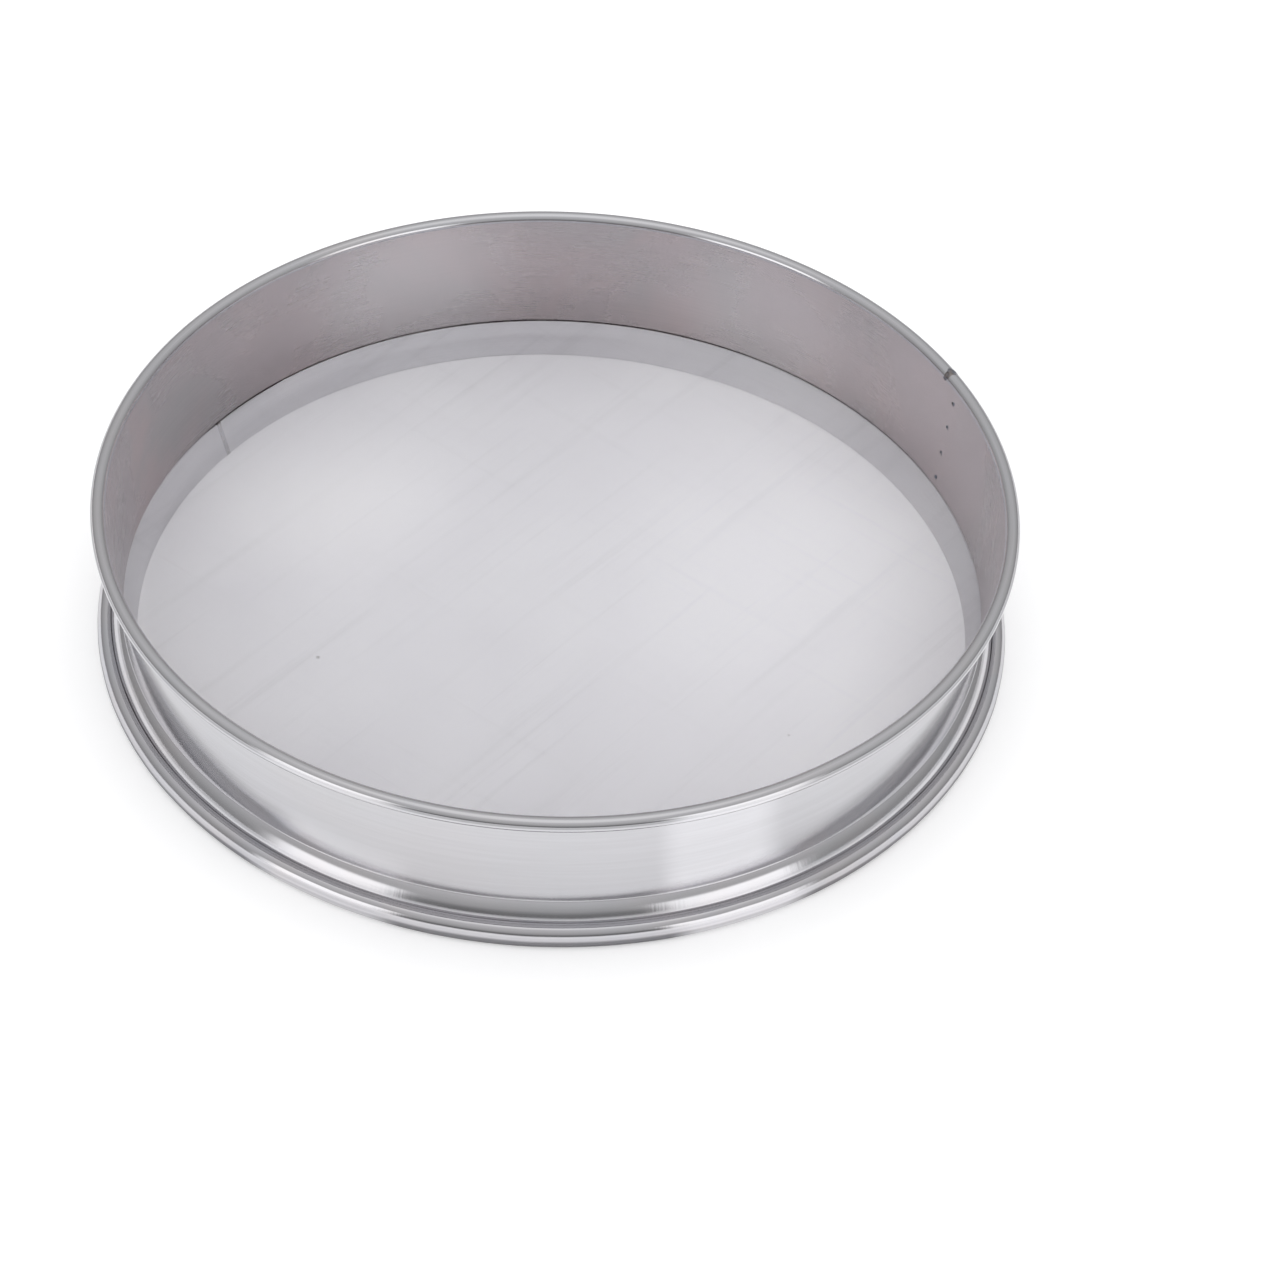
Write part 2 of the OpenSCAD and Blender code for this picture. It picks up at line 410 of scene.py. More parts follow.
def cloth_wire():
    """Drawn wire of the cloth: pale, with slow cloudy patches, streaks along the
    wires and a few dark specks of dirt. Light is painted into its colour: a
    painted pool of light on the left, and colour a little darker towards the
    left, so that the right looks more lit. It is least metallic at the right, at
    the painted pool of light and over the mesh ring, which makes it lighter there."""
    material, g = new_material("cloth_wire")
    place = g.object_place()
    cloud = g.noise(place, 9.0, 3.0, 0.55, 0.5)
    colour = g.mix(g.rise(cloud, 0.35, 0.65), (0.975, 0.965, 1.0, 1),
                   (0.905, 0.892, 0.935, 1))
    warp = use_group(g, STREAKS, {"Place": place, "Along": 5.0, "Across": 150.0,
                                  "Angle": math.radians(-WEAVE_ANGLE)})["Value"]
    weft = use_group(g, STREAKS, {"Place": place, "Along": 6.0, "Across": 190.0,
                                  "Angle": math.radians(90 - WEAVE_ANGLE)})["Value"]
    dull = g.math("ADD", g.rise(warp, 0.5, 0.72, 0.0, 0.20),
                  g.rise(weft, 0.52, 0.75, 0.0, 0.13))
    colour = g.mix(dull, colour, (0.55, 0.545, 0.57, 1))
    # painted light: a pale pool of light on the left of the cloth, with paler colour and
    # less metal round a point
    painted_light_pool = g.vector("DISTANCE", place, (-0.088, 0.045, 0.0146), out=1)
    colour = g.mix(g.rise(painted_light_pool, 0.065, 0.0, 0.0, 0.5), colour, (1.0, 0.99, 0.995, 1))
    parts = g.tree.nodes.new("ShaderNodeSeparateXYZ")
    g.tree.links.new(place, parts.inputs[0])
    # painted light: the colour is a little darker towards the left, so the right side
    # looks more lit
    right = g.rise(parts.outputs[0], -0.05, 0.16)
    colour = g.mix(right, g.vector("MULTIPLY", colour, (0.92, 0.92, 0.93)), colour)
    speck = use_group(g, SPECKS, {"Place": place, "Scale": 45.0, "Share": 0.05,
                                  "Size": 0.05})["Mask"]
    colour = g.mix(g.math("MULTIPLY", speck, 0.7), colour, (0.12, 0.11, 0.11, 1))
    metal = g.rise(parts.outputs[0], -0.02, 0.13, 0.34, 0.03)
    metal = g.math("MULTIPLY", metal, g.rise(painted_light_pool, 0.07, 0.01, 1.0, 0.25))
    reach = g.vector("LENGTH", g.vector("MULTIPLY", place, (1, 1, 0)), out=1)
    metal = g.math("MULTIPLY", metal, g.rise(reach, 0.154, 0.159, 1.0, 0.0))
    shader = g.add("ShaderNodeBsdfPrincipled", {
        "Base Color": colour, "Metallic": metal,
        "Roughness": g.rise(cloud, 0.3, 0.7, 0.36, 0.44)})
    g.add("ShaderNodeOutputMaterial", {"Surface": shader})
    return material


# Surfaces
def new_piece(name, points, faces, materials, slots=None, smooth=True):
    """A mesh object at the origin with its place in its mesh. points are in
    millimetres."""
    mesh = bpy.data.meshes.new(name)
    mesh.from_pydata((np.asarray(points) * MM).tolist(), [], faces)
    for material in materials:
        mesh.materials.append(material)
    if slots is not None:
        mesh.polygons.foreach_set("material_index", np.asarray(slots, np.int32))
    mesh.polygons.foreach_set("use_smooth", np.full(len(mesh.polygons), smooth))
    mesh.update()
    made = bpy.data.objects.new(name, mesh)
    bpy.context.scene.collection.objects.link(made)
    return made


def finish_piece(piece, slot, *nodes):
    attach(piece, "root")
    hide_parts(*nodes)
    return piece


def side_of(line):
    """Unit vectors to the left of a line at each of its points."""
    step = np.gradient(line, axis=0)
    step /= np.linalg.norm(step, axis=1)[:, None]
    return np.stack([-step[:, 1], step[:, 0]], 1)


def resample(line, spacing):
    """The line with points at most spacing apart."""
    out = [line[0]]
    for a, b in zip(line[:-1], line[1:]):
        count = max(1, int(math.ceil(np.linalg.norm(np.subtract(b, a)) / spacing)))
        for k in range(1, count + 1):
            out.append(np.asarray(a) + (np.asarray(b) - np.asarray(a)) * k / count)
    return np.array(out, float)


def round_corners(line, spacing, passes):
    """A line made even and smoothed: each pass moves every inner point to the
    mean of itself and its neighbours."""
    line = resample(line, spacing)
    for _ in range(passes):
        line[1:-1] = 0.25 * line[:-2] + 0.5 * line[1:-1] + 0.25 * line[2:]
    return line


def sheet_section(line, thickness, cap=5):
    """Closed section of a sheet: the line moved to each side by half the
    thickness, joined by half circles. Gives the points and, for each, 1 on the
    left face, -1 on the right face and 0 on an edge."""
    side = side_of(line)
    half = thickness / 2

    def round_end(centre, start):
        turn = start - math.pi * np.arange(1, cap) / cap
        return centre + half * np.stack([np.cos(turn), np.sin(turn)], 1)

    left = line + side * half
    right = (line - side * half)[::-1]
    far = round_end(line[-1], math.atan2(side[-1, 1], side[-1, 0]))
    near = round_end(line[0], math.atan2(-side[0, 1], -side[0, 0]))
    points = np.concatenate([left, far, right, near])
    face = np.concatenate([np.ones(len(left)), np.zeros(len(far)),
                           -np.ones(len(right)), np.zeros(len(near))])
    return points, face


def around(count, fine=()):
    """Azimuths of a full turn, with extra ones close to each of the given
    angles, in radians."""
    even = np.arange(count) / count * TURN
    extra = [math.radians(a + d) for a, half in fine
             for d in np.linspace(-half, half, 25)]
    steps = [math.radians(a + s * d) for a, half in fine for s in (-1, 1)
             for d in (half - 0.015, half + 0.015)]
    return np.unique(np.round(np.concatenate([even, extra, steps]) % TURN, 6))


def waves(angle, seed, counts, size):
    """A periodic wavy line round the axis: a sum of sines with seeded phases,
    lower ones larger."""
    rng = np.random.RandomState(seed)
    total = np.zeros_like(angle)
    weight = 0.0
    for k in counts:
        total += np.sin(k * angle + rng.uniform(0, TURN)) * rng.uniform(0.5, 1) / k ** 0.5
        weight += 0.5 / k
    return total * size / math.sqrt(weight)


def out_of_round(angle):
    """How far the whole sieve stands out of a true circle, in millimetres."""
    return (0.10 * np.sin(2 * angle + 0.6) + 0.06 * np.sin(3 * angle + 2.1)
            + 0.03 * np.sin(5 * angle + 1.0))


def turned(name, section, angle, materials, slots=None, push=0.0, lift=0.0):
    """A closed section carried round the axis: point (i, j) is section point i,
    moved outwards by push and up by lift, at azimuth j."""
    r = section[:, :1] + out_of_round(angle)[None, :] + push
    z = section[:, 1:] + 0 * angle[None, :] + lift
    points = np.stack([r * np.cos(angle), r * np.sin(angle), z], -1).reshape(-1, 3)
    n, m = r.shape
    i, j = np.meshgrid(np.arange(n), np.arange(m), indexing="ij")
    next_i, next_j = (i + 1) % n, (j + 1) % m
    quads = np.stack([i * m + j, i * m + next_j, next_i * m + next_j,
                      next_i * m + j], -1).reshape(-1, 4)
    ring = section
    area = np.sum(ring[:, 0] * np.roll(ring[:, 1], -1)
                  - np.roll(ring[:, 0], -1) * ring[:, 1])
    if area < 0:
        quads = quads[:, ::-1]
    faces = quads.tolist()
    index = None
    if slots is not None:
        index = np.repeat(np.asarray(slots), m)
    return new_piece(name, points, faces, materials, index)


def wall_r(z):
    """Middle radius of the hoop's wall at height z: it leans out evenly to the
    rim, but over its lowest millimetres it flares a little towards the foot."""
    above = z - SWELL_TOP
    lean = (WALL_R_RIM - WALL_R_FOOT + FLARE) / (ROLL_C[1] - SWELL_TOP)
    return WALL_R_FOOT + lean * above - FLARE * (1 - np.exp(-above / FLARE_REACH))


def hoop_line():
    """Middle line of the hoop's sheet: the short edge inside the foot ring, the
    swollen foot as a curve drawn between its two ends by a third point where
    their tangents cross, a small bend into the crease, the leaning wall, and
    the circle of the roll."""
    t = np.linspace(0, 1, 90)[:, None]
    low, cross, high = (np.array(point) for point in (SWELL_LIP, SWELL_CROSS,
                                                      (WALL_R_FOOT, SWELL_TOP)))
    bulge = low * (1 - t) ** 2 + 2 * cross * t * (1 - t) + high * t ** 2
    swell = np.concatenate([resample(SWELL_EDGE, 0.1), bulge])
    high = np.linspace(SWELL_TOP, ROLL_C[1], 400)[1:]
    wall = np.stack([wall_r(high), high], 1)
    fine = round_corners(np.concatenate([swell, wall]), 0.12, 10)
    away = np.concatenate([[0], np.cumsum(np.linalg.norm(np.diff(fine, axis=0), axis=1))])
    crease = away[np.argmin(np.hypot(fine[:, 0] - WALL_R_FOOT, fine[:, 1] - SWELL_TOP))]
    keep = np.concatenate([np.linspace(0, crease - 1.2, 22),
                           crease + np.array([-0.8, -0.5, -0.3, -0.15, 0,
                                              0.15, 0.3, 0.5, 0.8]),
                           np.linspace(crease + 1.3, away[-1], 14)[:-1]])
    wall = np.stack([np.interp(keep, away, fine[:, k]) for k in (0, 1)], 1)
    turn = np.radians(np.linspace(180, ROLL_END, 34))
    bend = ROLL_R - HOOP_T / 2
    roll = np.stack([ROLL_C[0] + bend * np.cos(turn),
                     ROLL_C[1] + bend * np.sin(turn)], 1)
    return np.concatenate([wall, roll])


def make_hoop(made):
    """The hoop's sheet, its section carried round the axis. Its radius gets a sum
    of seeded sines that fades at the wall's foot and rim, a smaller one that
    changes sign half way up, shorter ones towards the swell's edge, and one
    sheet thickness more on the outside where the ends lap."""
    line = hoop_line()
    section, face = sheet_section(line, HOOP_T)
    angle = around(480, [(LAP_AZ, math.degrees(LAP_HALF_TURN))])
    r, z = section[:, 0], section[:, 1]
    on_roll = np.hypot(r - ROLL_C[0], z - ROLL_C[1]) < ROLL_R + 0.4
    outer = (face < 0) & ~on_roll
    inner = (face > 0) & ~on_roll
    # material of the strip of faces between section points i and i + 1
    slots = np.where(on_roll, 2, np.where(inner, 1, 0))
    slots = np.where(~on_roll & outer & (z < SWELL_TOP + 0.5), 3, slots)

    turn = angle[None, :]
    height = z[:, None]
    span = np.clip((height - SWELL_TOP) / (HEIGHT - SWELL_TOP), 0, 1)
    push = (0.05 * np.sin(np.pi * span) * waves(angle, 3, (3, 4, 7, 11, 17), 1.0)
            + 0.02 * np.sin(TURN * span) * waves(angle, 5, (9, 14, 23, 31), 1.0))
    foot = np.clip((SWELL_TOP - height) / SWELL_H, 0, 1)
    push = push + 0.04 * foot * waves(angle, 8, (12, 19, 33, 47), 1.0)
    near_lap = np.abs((turn - math.radians(LAP_AZ) + math.pi) % TURN - math.pi)
    lap = (near_lap < LAP_HALF_TURN) & outer[:, None] & (
        (height > LAP_BOTTOM) & (height < LAP_TOP))
    push = push + HOOP_T * lap
    return finish_piece(
        turned("hoop_sheet", section, angle,
               [made["outside"], made["inside"], made["roll"], made["swell"]],
               slots, push), "hoop_sheet", "hoop")


def sink(angle):
    """How far the ring's ridge and the cloth lie under their drawn height: most
    at the back left, where the crevice under the wall is widest."""
    return -0.42 * (0.5 + 0.5 * np.cos(angle - math.radians(130))) ** 2


def make_mesh_ring(made):
    """The mesh ring's sheet, its section carried round the axis. Its radius gets
    a sum of seeded sines, and its ridge sinks with the cloth."""
    line = round_corners(RING_LINE, 0.45, 6)
    section = sheet_section(line, RING_T)[0]
    angle = around(600)
    push = 0.04 * waves(angle, 21, (4, 9, 15, 27), 1.0)[None, :]
    up_leg = np.clip((section[:, 1:] - RING_TOE_Z) / RING_LEG_H, 0, 1)
    lift = up_leg * sink(angle)[None, :]
    return finish_piece(turned("mesh_ring_sheet", section, angle, [made["ring"]],
                               push=push, lift=lift), "ring_sheet", "mesh_ring")


def foot_line():
    """Middle line of the foot ring: rounded shoulder, under-curve, flat sole,
    web and the ledge that reaches in to the mesh ring."""
    half = FOOT_T / 2
    a, b = SHOULDER_A, SHOULDER_B
    centre = (FOOT_R - half - a, BULGE_Z)
    turn = np.radians(np.linspace(SHOULDER_LIP, SHOULDER_LOW, 44))
    arc = np.stack([centre[0] + a * np.cos(turn), centre[1] + b * np.sin(turn)], 1)
    rest = [tuple(arc[-1]), (SOLE_R[0], half), (SOLE_R[1], half), (WEB_R, LEDGE_Z),
            (LEDGE_R, LEDGE_Z)]
    return np.concatenate([arc, round_corners(rest, 0.4, 2)[1:]])


def make_foot_ring(made):
    """The foot ring's sheet, its section carried round the axis. Its radius gets
    a sum of seeded sines, full on the shoulder and fading to none inwards."""
    line = foot_line()
    section = sheet_section(line, FOOT_T)[0]
    angle = around(760)
    crimp = waves(angle, 31, (20, 33, 47, 61, 90), 1.0)
    shoulder = np.clip((section[:, :1] - SHOULDER_R) / SHOULDER_WIDE, 0, 1)
    push = 0.03 * shoulder * crimp[None, :]
    return finish_piece(turned("foot_ring_sheet", section, angle, [made["foot"]],
                               push=push), "foot_sheet", "foot_ring")


# Cloth
def drape(flat):
    """Place of a point of the flat cloth: level inside the mesh ring, then bent
    down over it. flat is x, y and the height over the cloth's middle."""
    bend = CLOTH_BEND
    start = CLOTH_EDGE_R - bend
    reach = np.hypot(flat[..., 0], flat[..., 1])
    angle = np.arctan2(flat[..., 1], flat[..., 0])
    past = np.maximum(reach - start, 0)
    turn = np.minimum(past / bend, math.pi / 2)
    drop = np.maximum(past - bend * math.pi / 2, 0)
    off = flat[..., 2]
    r = np.minimum(reach, start) + (bend + off) * np.sin(turn)
    z = CLOTH_Z - CLOTH_T / 2 + off - (bend + off) * (1 - np.cos(turn)) - drop
    z = z + sink(angle) * np.minimum(r / CLOTH_EDGE_R, 1) ** 2
    r = r + out_of_round(angle) * np.minimum(r / CLOTH_EDGE_R, 1) ** 4
    return np.stack([r * np.cos(angle), r * np.sin(angle), z], -1)


def make_wires(name, direction, level, seed, made):
    """All wires of the cloth that run one way: four-sided prisms laid side by
    side at the weave's pitch, with small random shifts, bent down over the
    mesh ring at both ends."""
    rng = np.random.RandomState(seed)
    flat_r = CLOTH_EDGE_R - CLOTH_BEND
    reach = flat_r + CLOTH_BEND * math.pi / 2 + CLOTH_SKIRT - CLOTH_TRIM
    count = int(2 * (CLOTH_EDGE_R - CLOTH_SIDE) / WIRE_PITCH)
    offset = (np.arange(count) - (count - 1) / 2) * WIRE_PITCH
    slow = np.cumsum(rng.normal(0, 0.10, count))
    slow -= np.linspace(slow[0], slow[-1], count)
    offset = offset + rng.normal(0, 0.018, count) + 0.02 * slow
    long_half = np.sqrt(np.maximum(reach ** 2 - offset ** 2, 1.0))
    flat_half = np.sqrt(np.maximum(flat_r ** 2 - offset ** 2, 0.5))
    ends = np.array([1.0, 0.72, 0.5, 0.3, 0.12, 0.0])
    over = flat_half[:, None] + (long_half - flat_half)[:, None] * ends[None, :]
    inner = flat_half[:, None] * np.array([0.75, 0.45, 0.15])[None, :]
    half = np.concatenate([over, inner], 1)
    along = np.concatenate([-half, half[:, ::-1]], 1)
    steps = along.shape[1]
    sway = rng.normal(0, 0.02, (count, steps))
    across = offset[:, None] + sway
    a = math.radians(direction)
    way = np.array([math.cos(a), math.sin(a)])
    side = np.array([-math.sin(a), math.cos(a)])
    corner = np.array([[1, 0], [0, 1], [-1, 0], [0, -1]]) * WIRE_D / 2
    x = along[:, :, None] * way[0] + (across[:, :, None] + corner[:, 0]) * side[0]
    y = along[:, :, None] * way[1] + (across[:, :, None] + corner[:, 0]) * side[1]
    z = level + corner[:, 1] + 0 * x
    points = drape(np.stack([x, y, z], -1)).reshape(-1, 3)
    w, s, c = np.meshgrid(np.arange(count), np.arange(steps - 1), np.arange(4),
                          indexing="ij")
    d = (c + 1) % 4
    base = (w * steps + s) * 4
    quads = np.stack([base + c, base + d, base + 4 + d, base + 4 + c], -1)
    quads = quads.reshape(-1, 4)[:, ::-1]
    first = np.arange(count) * steps * 4
    last = first + (steps - 1) * 4
    caps = np.concatenate([
        first[:, None] + np.array([0, 1, 2, 3])[None, :],
        last[:, None] + np.array([3, 2, 1, 0])[None, :]])
    return new_piece(name, points, np.concatenate([quads, caps]).tolist(),
                     [made["cloth"]])


def make_cloth(made):
    """Two layers of wires that cross at a right angle, one resting on the other."""
    gap = WIRE_D / 2
    warp = make_wires("cloth_warp", WEAVE_ANGLE, gap, 41, made)
    weft = make_wires("cloth_weft", WEAVE_ANGLE - 90, -gap, 43, made)
    for piece in (warp, weft):
        finish_piece(piece, "cloth", "mesh_screen")


# Welds
def place_round(points, azimuth):
    """Points given in the plane of azimuth zero, turned to their azimuth."""
    a = math.radians(azimuth)
    c, s = math.cos(a), math.sin(a)
    grow = 1 + out_of_round(np.array(a)) / WALL_R_FOOT
    x, y = points[..., 0] * grow, points[..., 1]
    return np.stack([x * c - y * s, x * s + y * c, points[..., 2]], -1)


def closed_tube(rings):
    """Faces of a tube of rings, each an array of points, with a pole at each
    end. Gives points and faces."""
    n, m = rings.shape[:2]
    i, j = np.meshgrid(np.arange(n - 1), np.arange(m), indexing="ij")
    next_j = (j + 1) % m
    quads = np.stack([i * m + j, i * m + next_j, (i + 1) * m + next_j,
                      (i + 1) * m + j], -1)
    points = np.concatenate([rings.reshape(-1, 3), rings[0].mean(0)[None],
                             rings[-1].mean(0)[None]])
    j = np.arange(m)
    start = np.stack([(j + 1) % m, j, np.full(m, n * m)], -1)
    end = np.stack([(n - 1) * m + j, (n - 1) * m + (j + 1) % m,
                    np.full(m, n * m + 1)], -1)
    return points, quads.reshape(-1, 4).tolist() + start.tolist() + end.tolist()


def make_spot(index, made):
    """A spot weld through both sheets: a button whose two faces stand a little
    proud, dished in the middle."""
    z = SPOT_Z[index]
    rng = np.random.RandomState(60 + index)
    turn = np.arange(20) / 20 * TURN
    wide = 1.0 + 0.12 * np.sin(2 * turn + rng.uniform(0, TURN)) + 0.08 * np.sin(
        3 * turn + rng.uniform(0, TURN))
    radius = np.array([0.15, 0.45, 0.7, 0.9, 1.05, 1.1, 1.05, 0.9, 0.7, 0.45, 0.15])
    depth = np.array([-0.33, -0.35, -0.42, -0.42, -0.30, 0.3, 0.93, 1.02, 1.02,
                      0.96, 0.94])
    rings = np.stack([
        wall_r(z) + depth[:, None] + 0 * turn[None, :],
        radius[:, None] * wide[None, :] * np.cos(turn)[None, :],
        z + radius[:, None] * wide[None, :] * np.sin(turn)[None, :]], -1)
    points, faces = closed_tube(place_round(rings, LAP_AZ))
    node = "lap_spot_weld_%d" % (index + 1)
    return finish_piece(new_piece(node + "_button", points, faces, [made["weld"]]),
                        "weld", node)


def make_rim_joint(made):
    """Weld over the rolled rim's joint: the roll's circle swollen by uneven
    lumps, tapering into the roll at both ends."""
    rng = np.random.RandomState(71)
    along = np.linspace(-RIM_JOINT_HALF, RIM_JOINT_HALF, 29)
    turn = np.arange(36) / 36 * TURN
    swell = np.exp(-(along / 1.7) ** 2)[:, None]
    lumps = np.zeros((len(along), len(turn)))
    for _ in range(16):
        u, v = rng.uniform(-2.4, 2.4), rng.uniform(0, TURN)
        away = ((along[:, None] - u) / 0.55) ** 2 + (
            ((turn[None, :] - v + math.pi) % TURN - math.pi) / 0.28) ** 2
        lumps += rng.uniform(-0.5, 0.9) * np.exp(-away)
    radius = ROLL_R - 0.12 + 0.22 * swell + 0.35 * lumps * np.sqrt(swell)
    rings = np.stack([
        ROLL_C[0] + radius * np.cos(turn)[None, :],
        along[:, None] + 0 * radius,
        ROLL_C[1] + radius * np.sin(turn)[None, :]], -1)
    points, faces = closed_tube(place_round(rings, RIM_JOINT_AZ))
    return finish_piece(new_piece("rim_joint_bead", points, faces, [made["weld"]]),
                        "weld", "rim_joint_weld")


def make_ring_joint(made):
    """Weld that closes the mesh ring: the ring's section, a little fuller, for
    a short way round."""
    line = round_corners(RING_LINE, 0.45, 6)
    section = sheet_section(line, RING_T + RING_JOINT_PROUD)[0]
    along = np.array([-1.0, -0.9, -0.6, -0.2, 0.2, 0.6, 0.9, 1.0])
    shrink = np.array([0.6, 0.85, 1.0, 1.05, 1.0, 1.05, 0.85, 0.6])
    middle = section.mean(0)
    rings = np.stack([
        middle[0] + (section[None, :, 0] - middle[0]) + 0 * along[:, None],
        along[:, None] + 0 * section[None, :, 0],
        section[None, :, 1] + 0 * along[:, None]], -1)
    rings[..., 0] += (shrink[:, None] - 1) * 0.3
    points, faces = closed_tube(place_round(rings, RING_JOINT_AZ))
    return finish_piece(new_piece("ring_joint_bead", points, faces, [made["weld"]]),
                        "weld", "ring_joint_weld")


# Stage
def panel_group():
    """A softbox far away: 1 inside a rectangle seen in a direction, 0 outside,
    with soft edges. Facing, Side and Up are unit vectors, and the half sizes
    are tangents of angles."""
    tree, g, given, put = new_group(
        "softbox",
        [("Way", "v"), ("Facing", "v"), ("Side", "v"), ("Up", "v"),
         ("Half width", "f"), ("Half height", "f"), ("Softness", "f")],
        [("Mask", "f")])
    ahead = g.vector("DOT_PRODUCT", given["Way"], given["Facing"], out=1)
    safe = g.math("MAXIMUM", ahead, 0.02)

    def edge(axis, half):
        along = g.math("ABSOLUTE", g.math("DIVIDE", g.vector(
            "DOT_PRODUCT", given["Way"], given[axis], out=1), safe))
        inside = g.math("SUBTRACT", given[half], along)
        return g.add("ShaderNodeMapRange",
                     (inside, g.math("MULTIPLY", given["Softness"], -1.0),
                      given["Softness"], 0.0, 1.0),
                     interpolation_type="SMOOTHSTEP")

    mask = g.math("MULTIPLY", edge("Side", "Half width"), edge("Up", "Half height"))
    front = g.math("GREATER_THAN", ahead, 0.03)
    g.tree.links.new(g.math("MULTIPLY", mask, front), put["Mask"])
    return tree


def panel_axes(azimuth, elevation):
    a, e = math.radians(azimuth), math.radians(elevation)
    facing = (math.cos(a) * math.cos(e), math.sin(a) * math.cos(e), math.sin(e))
    side = (-math.sin(a), math.cos(a), 0.0)
    up = tuple(np.cross(facing, side))
    return {"Facing": facing, "Side": side, "Up": up}


# azimuth, elevation, half width, half height, softness, strength to add
PANELS = (
    (-138, 7, 0.27, 0.37, 0.08, 1.10),
    (-47, 7, 0.28, 0.37, 0.08, 1.05),
    (-90, 4, 0.60, 0.22, 0.14, -0.14),
)


def light_studio():
    """The studio: a pale world, dim at the horizon and bright overhead, with
    softboxes to the left and right of the camera, which the metal reflects.
    The camera sees plain white, and matt things are lit evenly at strength 1."""
    world = bpy.data.worlds.new("studio")
    bpy.context.scene.world = world
    world.use_nodes = True
    world.node_tree.nodes.clear()
    g = Graph(world.node_tree)
    way = g.add("ShaderNodeTexCoord", out="Generated")
    softbox = panel_group()
    parts = g.tree.nodes.new("ShaderNodeSeparateXYZ")
    g.tree.links.new(way, parts.inputs[0])
    level = g.math("ADD", g.math("MULTIPLY_ADD", parts.outputs[2], 0.42, 0.30),
                   g.rise(parts.outputs[2], 0.86, 1.0, 0.0, 0.25))
    for azimuth, elevation, wide, high, soft, strength in PANELS:
        mask = use_group(g, softbox, {
            "Way": way, **panel_axes(azimuth, elevation), "Half width": wide,
            "Half height": high, "Softness": soft})["Mask"]
        level = g.math("ADD", level, g.math("MULTIPLY", mask, strength))
    path = g.tree.nodes.new("ShaderNodeLightPath").outputs
    seen = g.math("MAXIMUM", path["Is Glossy Ray"], path["Is Transmission Ray"])
    strength = g.blend(path["Is Camera Ray"], g.blend(seen, 1.2, level), 1.0)
    shade = g.add("ShaderNodeBackground", {"Color": (1, 1, 1, 1), "Strength": strength})
    g.add("ShaderNodeOutputWorld", {"Surface": shade})


# Sheen of the two softboxes on the floor, which only the metal sees: the wedge's
# point in metres, its direction, half angle and softness in degrees, and its
# strength far out and close to the foot, and in the ring that the wall mirrors
FANS = (
    (-0.009, -0.091, -138.0, 14.0, 5.0, 0.42, 0.0),
    (0.015, -0.095, -48.0, 14.0, 5.0, 0.50, 0.22),
)


def fan(graph, place, reach, shape):
    """A wedge of light on the floor: the cosine of the angle from its middle
    line, taken from its point, rises over its soft edge. reach is the distance
    from the sieve's axis, over which its strength changes."""
    x, y, azimuth, half, soft, far, near = shape
    a = math.radians(azimuth)
    away = graph.vector("NORMALIZE", graph.vector("SUBTRACT", place, (x, y, 0)))
    close = graph.vector("DOT_PRODUCT", away, (math.cos(a), math.sin(a), 0), out=1)
    low = math.cos(math.radians(half + soft))
    high = math.cos(math.radians(half - soft))
    power = graph.math("ADD", graph.rise(reach, 0.215, 0.25, near, far),
                       graph.rise(reach, 0.183, 0.177, 0.0, far - near))
    return graph.math("MULTIPLY", graph.rise(close, low, high), power)


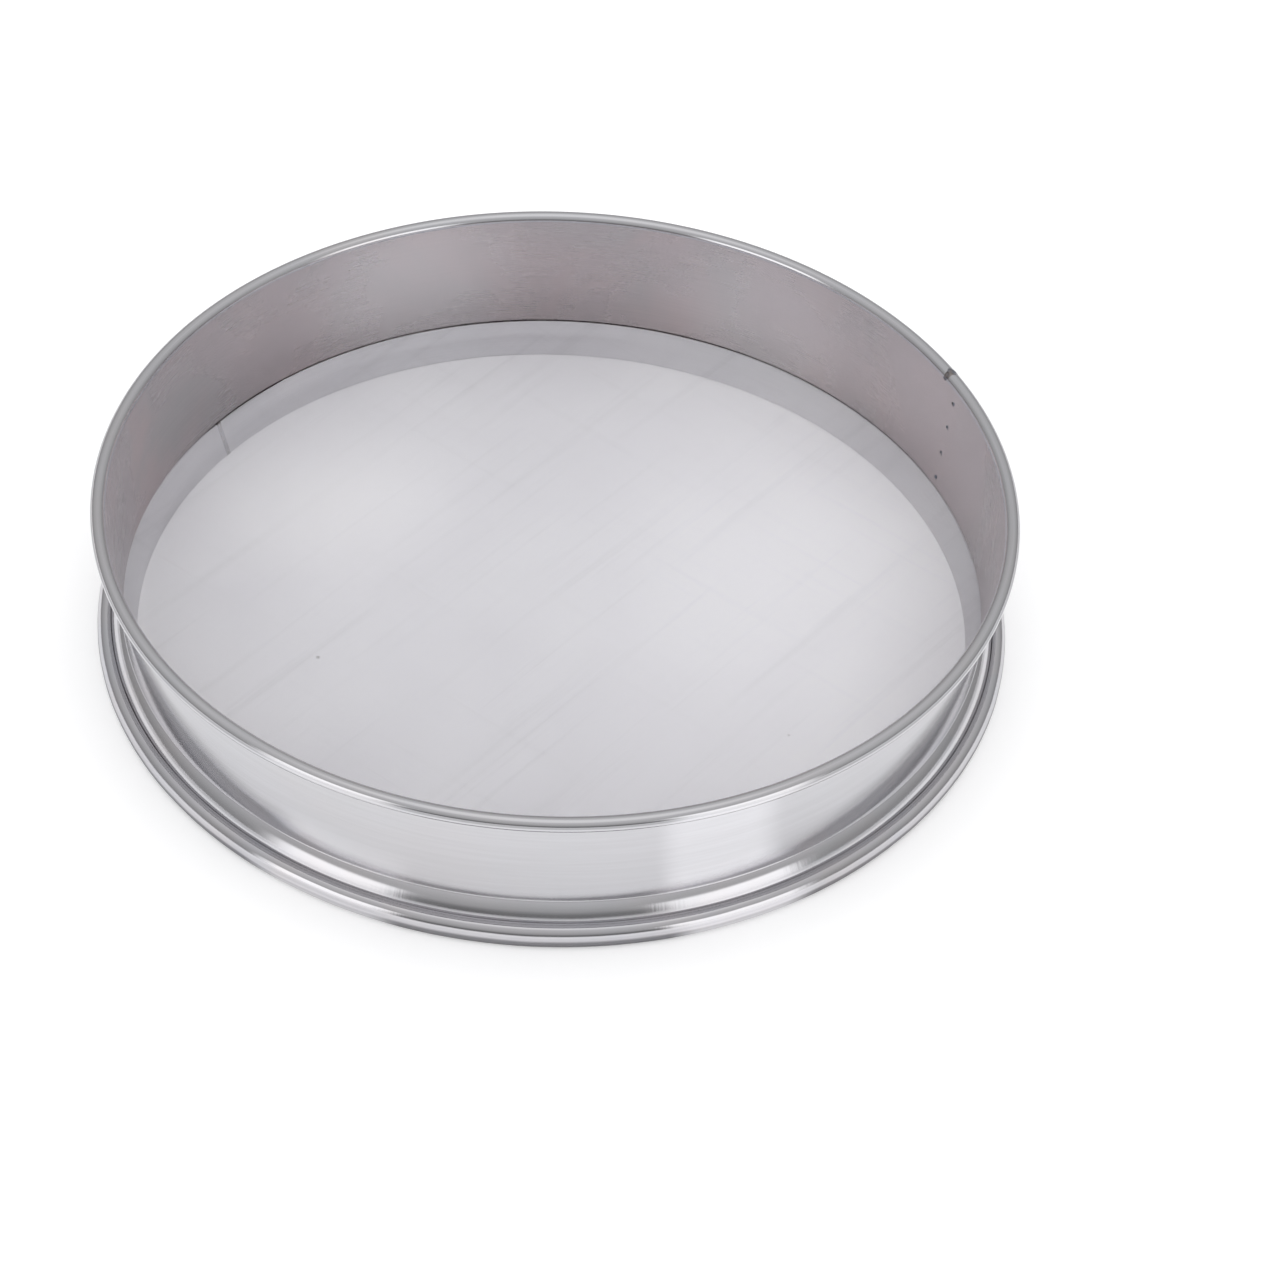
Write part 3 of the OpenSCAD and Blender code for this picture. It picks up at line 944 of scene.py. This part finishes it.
def lay_floor():
    """Plain white floor that keeps a soft shadow. Seen straight or in the metal
    it gets a little light of its own, so that it meets the white background.
    The metal sees it painted darker in three places: far in front, where the table
    ends, in a wide ring that the rolled rim mirrors, and close to the foot, where
    it is a painted shadow. Just outside the foot the metal sees a ring of painted
    glow, which lifts the floor's shadow there."""
    material, g = new_material("studio_floor")
    path = g.tree.nodes.new("ShaderNodeLightPath").outputs
    mirrored = g.math("MAXIMUM", path["Is Glossy Ray"], path["Is Transmission Ray"])
    place = g.object_place()
    reach = g.vector("LENGTH", place, out=1)
    parts = g.tree.nodes.new("ShaderNodeSeparateXYZ")
    g.tree.links.new(place, parts.inputs[0])
    # painted darkness, seen only in the metal: the floor far in front, where the table
    # ends
    far = g.math("MULTIPLY", mirrored, g.rise(parts.outputs[1], -0.55, -1.3))
    colour = g.mix(g.noise(place, 6.0, 2.0), (0.90, 0.90, 0.91, 1),
                   (0.92, 0.92, 0.92, 1))
    colour = g.mix(far, colour, (0.30, 0.30, 0.30, 1))
    # painted shade, seen only in the metal: a wide ring of floor that the rolled rim
    # mirrors
    wide = g.math("MULTIPLY", g.rise(reach, 0.225, 0.27, 0.0, 0.6),
                  g.rise(reach, 0.9, 0.5))
    colour = g.mix(g.math("MULTIPLY", mirrored, wide), colour, (0.30, 0.30, 0.31, 1))
    # painted shadow, seen only in the metal: close to the foot the floor goes dark and
    # loses its own light
    under = g.math("MULTIPLY", mirrored, g.rise(reach, 0.181, 0.176, 0.0, 0.7))
    colour = g.mix(under, colour, (0.20, 0.20, 0.21, 1))
    shader = g.add("ShaderNodeBsdfPrincipled", {
        "Base Color": colour, "Roughness": 0.9, "Specular IOR Level": 0.0,
        "Emission Color": (1, 1, 1, 1), "Emission Strength": 1.0})
    sheen = g.math("ADD", fan(g, place, reach, FANS[0]), fan(g, place, reach, FANS[1]))
    # painted light: a ring of glow just outside the foot, seen only in the metal, which
    # lifts the floor's shadow there
    painted_glow_ring = g.math("MULTIPLY", g.rise(reach, 0.176, 0.180), g.rise(reach, 0.27, 0.21))
    painted_glow_ring = g.math("MULTIPLY", painted_glow_ring, 0.06)
    plain = g.math("MULTIPLY", g.math("SUBTRACT", 1.0, far), 0.06)
    plain = g.math("MULTIPLY", plain, g.math("SUBTRACT", 1.0, under))
    bright = g.math("ADD", g.math("ADD", painted_glow_ring, plain), sheen)
    glow = g.blend(mirrored, g.math("MULTIPLY", path["Is Camera Ray"], 0.17), bright)
    g.tree.links.new(glow, shader.node.inputs["Emission Strength"])
    g.add("ShaderNodeOutputMaterial", {"Surface": shader})
    half = FLOOR_HALF
    floor = new_piece("floor", [(-half, -half, 0), (half, -half, 0),
                                (half, half, 0), (-half, half, 0)],
                      [(0, 1, 2, 3)], [material], smooth=False)


made = make_materials()
make_hoop(made)
make_mesh_ring(made)
make_foot_ring(made)
make_cloth(made)
make_rim_joint(made)
make_ring_joint(made)
for number in range(len(SPOT_Z)):
    make_spot(number, made)
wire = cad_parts["rim_wire"]
wire.data.materials.clear()
wire.data.materials.append(made["wire"])
lay_floor()
light_studio()
bpy.context.scene.view_settings.view_transform = "Standard"
